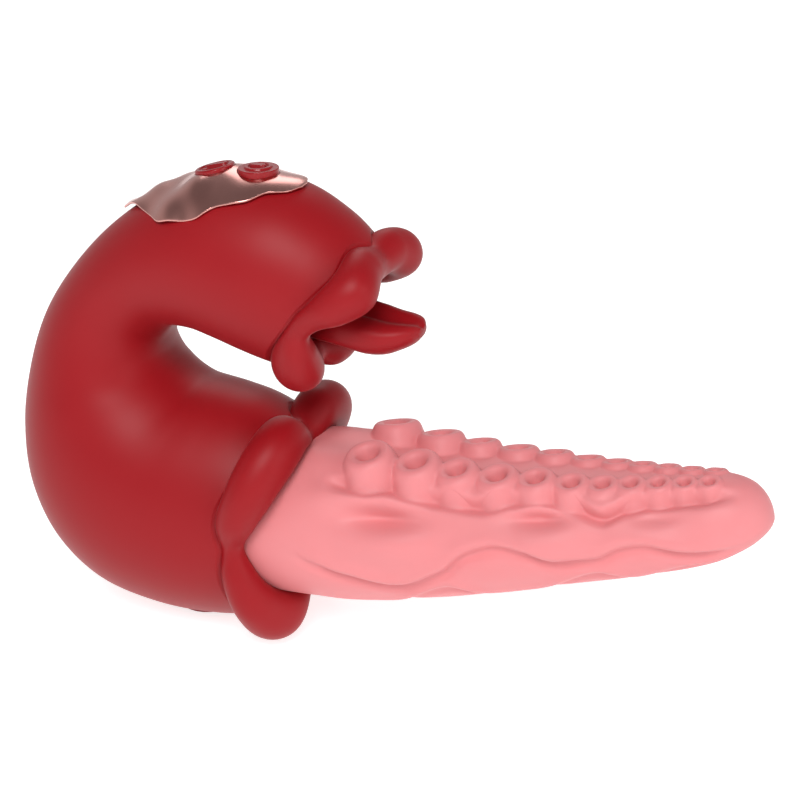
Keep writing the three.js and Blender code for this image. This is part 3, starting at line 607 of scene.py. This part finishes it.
def arm_relief(along, phi, radius):
    """Height in mm of the soft relief on the arm's sides, the same on both sides.

    The cups stand on a shelf whose wavy edge is the skirt line, with a hollow under it, and
    the shelf swells below each cup. The shoulder is fuller outside the hollow at two places.
    Two more folds follow the flank line and the keel line, each a swelling over a hollow, and
    three dimples with a swelling below each lie between the shelf and the first fold. Each
    swelling or hollow is a bell, exp(-(distance / half width)^2), and the distance from a line
    is the angle from it times the radius there.
    """
    shelf_rise, lobe_rise, hollow_depth, hollow_width = 0.3, 0.6, 2.1, 1.5
    turn = np.degrees(np.abs(phi))
    fade = smooth_step((along - 6) / 12) * smooth_step((106 - along) / 10)
    skirt, flank, keel = [
        (look_up(line, along, True)[..., 0] - turn) * math.pi / 180 * radius
        for line in (SKIRT_LINE, FLANK_LINE, KEEL_LINE)]
    lobes = sum(np.exp(-((along - cup[0]) / (0.9 * cup[3])) ** 4) for cup in CUP_PAIRS)
    shelf = smooth_step((skirt - 0.1) / 2.0) * smooth_step((turn - 14) / 18)
    started = smooth_step((along - 16) / 6)
    height = (shelf_rise + lobe_rise * lobes) * shelf * started
    height -= hollow_depth * np.exp(-((skirt + 0.7) / hollow_width) ** 2) * started
    for spot, angle, wide, tall, high in SHOULDER_SWELLINGS:
        lower = (turn - angle) * math.pi / 180 * radius
        height += high * mound(along - spot, lower, wide, tall)
    for line, (high, swelling, deep, hollow) in ((flank, FLANK_FOLD), (keel, KEEL_FOLD)):
        height += high * np.exp(-((line - 2.8) / swelling) ** 2)
        height -= deep * np.exp(-((line + 0.1) / hollow) ** 2)
    for spot, angle, wide, tall, deep in DIMPLES:
        lower = (turn - angle) * math.pi / 180 * radius
        height -= deep * mound(along - spot, lower, wide, tall)
        height += 0.5 * deep * mound(along - spot - 1, lower - 6.5, wide * 1.2, tall * 1.6)
    return height * fade


def cup_height(away, radius):
    """Height of a cup over its rim, at a distance from its axis.

    A shallow dish leads from the rim to an S curve that drops to a round-bottomed hollow.
    Outside the rim a quarter of an oval rolls over the shoulder, and a straight wall runs down
    from there. Depths are shares of the rim's radius, and the wall's slope is its fall in mm
    for each mm outwards.
    """
    dish_depth, hollow_depth, shoulder_depth, wall_slope = 0.16, 0.75, 0.48, 3.4
    dish = -dish_depth * radius * (1 - smooth_step(away / (0.8 * radius)))
    drop = smooth_step((away - 0.05 * radius) / (0.55 * radius))
    hollow = -hollow_depth * radius * (1 - drop)
    over = np.clip((away - 0.78 * radius) / (0.3 * radius), 0, 0.92)
    shoulder = -shoulder_depth * radius * (1 - np.sqrt(1 - over ** 2))
    wall = -wall_slope * np.clip(away - 1.056 * radius, 0, None)
    return dish + hollow + shoulder + wall


def arm_points(share, phi):
    """Points of the arm's skin: the section, raised by the relief, then drawn up to the cups.

    Near a cup, a point moves along the cup's own axis to the higher of where it is and the
    cup's height, joined smoothly as log(e^a + e^b). Inside the rim it moves to the cup's
    height alone. A cup flares outwards on the side away from the arm's middle.
    """
    flare_most, soft, reach_radii = 0.16, 0.4, 1.9
    along, up, side = arm_section(share, phi)
    radius = np.hypot(up, side)
    height = arm_relief(along, phi, radius)
    up = up + height * np.cos(phi)
    side = side + height * np.sin(phi)
    for spot, aside, rim_height, rim_radius in CUP_PAIRS:
        for sign in (-1, 1):
            lean_up, lean_side = math.cos(CUP_LEAN), sign * math.sin(CUP_LEAN)
            forward, rise, out = along - spot, up - rim_height, side - sign * aside
            level = rise * lean_up + out * lean_side
            away = np.sqrt(
                forward ** 2 + (rise - level * lean_up) ** 2 + (out - level * lean_side) ** 2)
            facing = np.clip(sign * out / np.maximum(away, 0.01), 0, 1) ** 2
            flare = flare_most * facing * smooth_step((away / rim_radius - 0.8) / 0.5)
            cup = cup_height(away * (1 - flare), rim_radius)
            joined = level + np.logaddexp(0, (cup - level) / soft) * soft
            inner = smooth_step((0.85 * rim_radius - away) / (0.1 * rim_radius))
            target = joined * (1 - inner) + cup * inner
            reach = smooth_step((reach_radii * rim_radius - away) / (0.4 * rim_radius))
            reach = reach * (level > -reach_radii * rim_radius)
            change = (target - level) * reach
            up = up + change * lean_up
            side = side + change * lean_side
    point = ARM_BASE + along[..., None] * ARM_AXIS + up[..., None] * ARM_UP
    point[..., 1] = side
    return point


def arm_surface():
    """Rings along the arm, closer together toward its round tip, with columns that are closer
    together over the cups than under the arm."""
    rows, columns = 378, 256
    step = np.linspace(0, 1, rows)[:, None]
    share = ARM_SKIN_START + ARM_SKIN_SPAN * (1 - (1 - step) ** 1.12)
    around = np.linspace(-1, 1, columns, endpoint=False)[None, :]
    phi = math.pi * around * (0.55 + 0.45 * np.abs(around) ** 1.6)
    rings = arm_points(share + 0 * phi, phi + 0 * share)
    return ring_surface("arm_skin", rings, pink_silicone, "chassis")


arm = arm_surface()
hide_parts("arm_sleeve")


# ---------------------------------------------------------------- the tongue and its web

def tongue_surface():
    """Sections with a rounded belly and a top hollowed between two raised edges.

    The belly is half an oval. The top is sin^0.7 high, less a bell round the middle whose
    depth grows over the first third of the length.
    """
    rows, columns = 110, 112
    hollow_depth, hollow_width, edge_power = 0.48, 0.42, 0.7
    step = np.linspace(0, 1, rows)[:, None]
    phi = np.linspace(0, 2 * math.pi, columns, endpoint=False)[None, :]
    x, z, width, depth, edge = np.moveaxis(through(TONGUE, step + 0 * phi), -1, 0)
    sideways, rise = np.cos(phi), np.sin(phi)
    hollow = hollow_depth * np.minimum(3 * step, 1) * np.exp(-(sideways / hollow_width) ** 2)
    top = edge * np.clip(rise, 0, None) ** edge_power * (1 - hollow)
    height = np.where(rise > 0, top, depth * rise)
    rings = np.stack([x, width * sideways, z + height], -1)
    return ring_surface("tongue_skin", rings, red_silicone, "tongue")


tongue = tongue_surface()
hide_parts("tongue")


def web_surface():
    """A soft funnel from the wall of the mouth to the slot round the tongue's root.

    Rings go evenly from the mouth's oval to the slot, which is an oval with fuller corners,
    half height times cos^0.6, and bulge forward by half a sine between them. The rear face is
    the front one moved back by the thickness.
    """
    rows, columns, corner_power, bulge = 24, 120, 0.6, 0.5
    phi = np.linspace(0, 2 * math.pi, columns, endpoint=False)[None, :]
    step = np.linspace(0, 1, rows)[:, None]
    outer = head_point(WEB_SHARE + 0 * phi, phi, WEB_DEPTH)
    axis, outward = mouth_frame(0)[1:3]
    upright = SLOT_HALF_HEIGHT * np.sign(np.cos(phi)) * np.abs(np.cos(phi)) ** corner_power
    inner = SLOT_MIDDLE + upright[..., None] * outward
    inner[..., 1] = SLOT_HALF_WIDTH * np.sin(phi)
    blend = step[..., None]
    front = outer * (1 - blend) + inner * blend
    front = front + (bulge * np.sin(math.pi * step) * (1 + 0 * phi))[..., None] * axis
    rear = front - WEB_THICKNESS * axis
    rings = np.concatenate([front, rear[::-1]])
    faces = grid_faces(len(rings), columns, True, True)
    return mesh_object("mouth_web_skin", rings.reshape(-1, 3), faces, red_silicone, "chassis")


web = web_surface()
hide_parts("mouth_web")


# ---------------------------------------------------------------- the panel and its buttons

def holes_in(points, keep, faces, spot, up, radius):
    """Drops the faces inside a round hole and draws the corners left inside out to its edge."""
    reach = 6
    offset = points - spot
    along = (offset @ up)[:, None] * up
    away = np.linalg.norm(offset - along, axis=1)
    inside = (away < radius) & (np.abs(offset @ up) < reach)
    keep = keep & ~inside[faces].all(1)
    outward = (offset - along) / np.maximum(away, 1e-6)[:, None]
    return np.where(inside[:, None], spot + along + radius * outward, points), keep


def panel_surface():
    """A thin plate that follows the head between its two wavy edges, with soft ripples across
    it, rounded edges, a lifted rear end and two round holes.

    The ripples are two crossing sines, calmer near the front. The outer face rounds over to
    the border by a quarter of an oval. One grid makes the outer face and one the inner face, and
    every open edge of the first is joined to the same edge below.
    """
    rows, columns = 190, 150
    t = np.linspace(0, 1, rows)[:, None]
    across = np.linspace(-1, 1, columns)[None, :]
    edge = look_up(PANEL_EDGE, t + 0 * across, False)[..., 0]
    phi = np.radians(edge * across)
    share = PANEL_START + (PANEL_END - PANEL_START) * t + 0 * across
    head_length, head_radius = 240, 18
    ahead, around = head_length * (share - PANEL_START), head_radius * phi
    wave = np.sin(2 * math.pi * (ahead / 17 + around / 26 + 0.1))
    wave += 0.45 * np.sin(2 * math.pi * (ahead / 9.5 - around / 15 + 0.3))
    calm = smooth_step((ahead - 16) / 8)
    ripple = PANEL_RIPPLE * wave * (0.35 + 0.65 * calm)
    lifted = PANEL_LIFT * smooth_step((t - 0.8) / 0.2) + 0 * across
    border = np.minimum((1 - np.abs(across)) * edge * 0.31, 48 * np.minimum(t, 1 - t))
    bevel = 0.2 * (1 - np.sqrt(np.clip(1 - (1 - np.clip(border / 0.35, 0, 1)) ** 2, 0, 1)))
    over, below = PANEL_TOP + ripple + lifted, PANEL_UNDER + ripple + lifted
    top = head_point(share, phi, -(over - bevel)).reshape(-1, 3)
    under = head_point(share, phi, -(below + 0.5 * bevel)).reshape(-1, 3)
    faces = grid_faces(rows, columns, False, False)
    keep = np.ones(len(faces), bool)
    for spot, up in (button_frame(POWER_AT), button_frame(MODE_AT)):
        under, _ = holes_in(under, keep, faces, spot, up, BUTTON_RADIUS + HOLE_GAP)
        top, keep = holes_in(top, keep, faces, spot, up, BUTTON_RADIUS + HOLE_GAP)
    faces = faces[keep]
    count = len(top)
    edges = np.concatenate([faces[:, [k, (k + 1) % 4]] for k in range(4)])
    code = edges.min(1) * count + edges.max(1)
    _, first, times = np.unique(code, return_index=True, return_counts=True)
    open_edges = edges[first[times == 1]]
    rim = np.stack([
        open_edges[:, 1], open_edges[:, 0], open_edges[:, 0] + count, open_edges[:, 1] + count], -1)
    everything = np.vstack([faces, faces[:, ::-1] + count, rim])
    used = np.unique(everything)
    place = np.zeros(2 * count, int)
    place[used] = np.arange(len(used))
    points = np.concatenate([top, under])[used]
    return mesh_object("panel_plate", points, place[everything], rose_gold, "chassis")


panel = panel_surface()
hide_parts("control_panel")


def raised(distance, half_width, height):
    """A rounded ridge: full height within half_width of a line, falling away past it."""
    fall = 0.3
    return height * smooth_step((half_width + fall - distance) / fall)


def from_bar(x, y, half_length):
    """Distance from a straight line that runs half_length each way along x."""
    return np.hypot(np.clip(np.abs(x) - half_length, 0, None), y)


def power_icon(x, y):
    """A short thick bar inside the ring."""
    return raised(from_bar(x, y, 0.8), half_width=0.8, height=0.75)


def mode_icon(x, y):
    """A long rounded bar across the cap with a small ring-shaped dot beside it."""
    dot_radius = 0.35
    bar = raised(from_bar(x - 0.3, y - 0.5, 1.7), half_width=0.75, height=0.75)
    dot = np.abs(np.hypot(x + 1.3, y + 1.7) - dot_radius)
    return np.maximum(bar, raised(dot, half_width=0.16, height=0.4))


def button_surface(name, spot, icon, ring_radius, rise, body):
    """A round cap of polar rings: a flat top with a raised ring and icon, a quarter circle
    over the edge, and a wall below. rise is the top's height over the head's outer line."""
    place, up = button_frame(spot)
    forward = np.array([up[2], 0.0, -up[0]])
    angle = np.linspace(0, 2 * math.pi, 160, endpoint=False)[None, :]
    away = np.linspace(0.05, BUTTON_RADIUS - BUTTON_EDGE, 84)[:, None]
    x, y = away * np.cos(angle), away * np.sin(angle)
    ring = raised(np.abs(away - ring_radius), half_width=0.28, height=0.4) + 0 * angle
    height = rise + np.maximum(ring, icon(x, y))
    turn = np.linspace(0, 1, 10)[1:, None] * math.pi / 2
    side = BUTTON_RADIUS - BUTTON_EDGE + BUTTON_EDGE * np.sin(turn)
    edge_height = height[-1:] - BUTTON_EDGE * (1 - np.cos(turn)) + 0 * angle
    wall_height = np.array([[0.6], [-0.2], [-1.0]]) + 0 * angle
    wall = np.full_like(wall_height, BUTTON_RADIUS)
    radii = np.concatenate([away + 0 * angle, side + 0 * angle, wall])
    heights = np.concatenate([height, edge_height, wall_height])
    rings = place + (radii * np.cos(angle))[..., None] * forward + heights[..., None] * up
    rings[..., 1] = radii * np.sin(angle)
    piece = ring_surface(name, rings, button_silicone, body)
    return piece


power = button_surface(
    "power_button_cap", POWER_AT, power_icon, ring_radius=2.55, rise=1.5, body="power_button")
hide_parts("power_button")
mode = button_surface(
    "mode_button_cap", MODE_AT, mode_icon, ring_radius=3.75, rise=1.05, body="mode_button")
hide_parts("mode_button")


# ---------------------------------------------------------------- floor, light and camera

# Seamless studio floor: a matt pale grey sheet that glows white, like a light table. It lies
# a little below the object, and is far wider than the camera sees.
FLOOR_HALF = 4.0
FLOOR_LEVEL = -0.0003
floor_finish = bpy.data.materials.new("pale studio floor")
floor_finish.use_nodes = True
floor_shader = floor_finish.node_tree.nodes["Principled BSDF"]
floor_shader.inputs["Base Color"].default_value = linear("#c8c8c8")
floor_shader.inputs["Roughness"].default_value = 0.9
floor_shader.inputs["Specular IOR Level"].default_value = 0.1
floor_shader.inputs["Emission Color"].default_value = linear("#ffffff")
floor_shader.inputs["Emission Strength"].default_value = 0.78
floor_mesh = bpy.data.meshes.new("floor")
floor_corners = [
    (x * FLOOR_HALF, y * FLOOR_HALF, FLOOR_LEVEL) for x, y in ((-1, -1), (1, -1), (1, 1), (-1, 1))]
floor_mesh.from_pydata(floor_corners, [], [(0, 1, 2, 3)])
floor_mesh.materials.append(floor_finish)
floor = bpy.data.objects.new("floor", floor_mesh)
bpy.context.scene.collection.objects.link(floor)

# What the camera and the lamps look at, and where the camera stands from there: degrees round
# from the front toward the right, degrees up, and metres away.
AIM = SHIFT * MM
CAMERA_AZIMUTH = 22
CAMERA_ELEVATION = 24
CAMERA_DISTANCE = 0.40611


def direction_to(azimuth, elevation):
    """Unit vector at azimuth degrees from -Y toward +X and elevation degrees up."""
    azimuth, elevation = math.radians(azimuth), math.radians(elevation)
    return np.array([
        math.sin(azimuth) * math.cos(elevation),
        -math.cos(azimuth) * math.cos(elevation),
        math.sin(elevation),
    ])


def face_toward(thing, target):
    """Turns a camera or a lamp so that it looks at target."""
    direction = np.array(target) - np.array(thing.location)
    direction /= np.linalg.norm(direction)
    turn = math.atan2(direction[0], -direction[1])
    tilt = math.acos(-direction[2])
    thing.rotation_euler = (tilt, 0.0, turn + math.pi)


def aim_camera():
    """An 85 mm lens on a full frame, looking at AIM."""
    lens = bpy.data.cameras.new("camera")
    lens.lens = 85
    lens.sensor_width = 36
    lens.clip_start = 0.01
    lens.clip_end = 20
    camera = bpy.data.objects.new("camera", lens)
    camera.location = AIM + direction_to(CAMERA_AZIMUTH, CAMERA_ELEVATION) * CAMERA_DISTANCE
    bpy.context.scene.collection.objects.link(camera)
    face_toward(camera, AIM)
    bpy.context.scene.camera = camera


aim_camera()


def soft_lamp(name, azimuth, elevation, distance, size, power):
    """A round area lamp that looks at AIM: degrees, metres and watts."""
    light = bpy.data.lights.new(name, "AREA")
    light.shape = "DISK"
    light.size = size
    light.energy = power
    lamp = bpy.data.objects.new(name, light)
    lamp.location = AIM + distance * direction_to(azimuth, elevation)
    bpy.context.scene.collection.objects.link(lamp)
    face_toward(lamp, AIM)


soft_lamp("key", azimuth=14, elevation=46, distance=1.2, size=0.6, power=10.5)
soft_lamp("edge", azimuth=205, elevation=36, distance=1.1, size=0.5, power=1.4)
soft_lamp("right", azimuth=75, elevation=20, distance=1.2, size=0.6, power=2.2)


def studio_world():
    """White light all round: stronger from the sides, and falling smoothly to less than half
    of that overhead."""
    world = bpy.data.worlds.new("studio")
    world.use_nodes = True
    tree = world.node_tree
    tree.nodes.clear()
    place = add_node(tree, "ShaderNodeTexCoord")
    parts = add_node(tree, "ShaderNodeSeparateXYZ", None, None, {"Vector": (place, "Generated")})
    level = add_node(
        tree, "ShaderNodeMapRange", {"interpolation_type": "SMOOTHSTEP"},
        {"From Min": 0.3, "From Max": 0.9, "To Min": 0.5, "To Max": 0.2},
        {"Value": (parts, "Z")})
    sky = add_node(tree, "ShaderNodeBackground", None, None, {"Strength": (level, "Result")})
    add_node(tree, "ShaderNodeOutputWorld", None, None, {"Surface": (sky, "Background")})
    sky.inputs["Color"].default_value = linear("#ffffff")
    return world


bpy.context.scene.world = studio_world()
bpy.context.scene.view_settings.view_transform = "Standard"
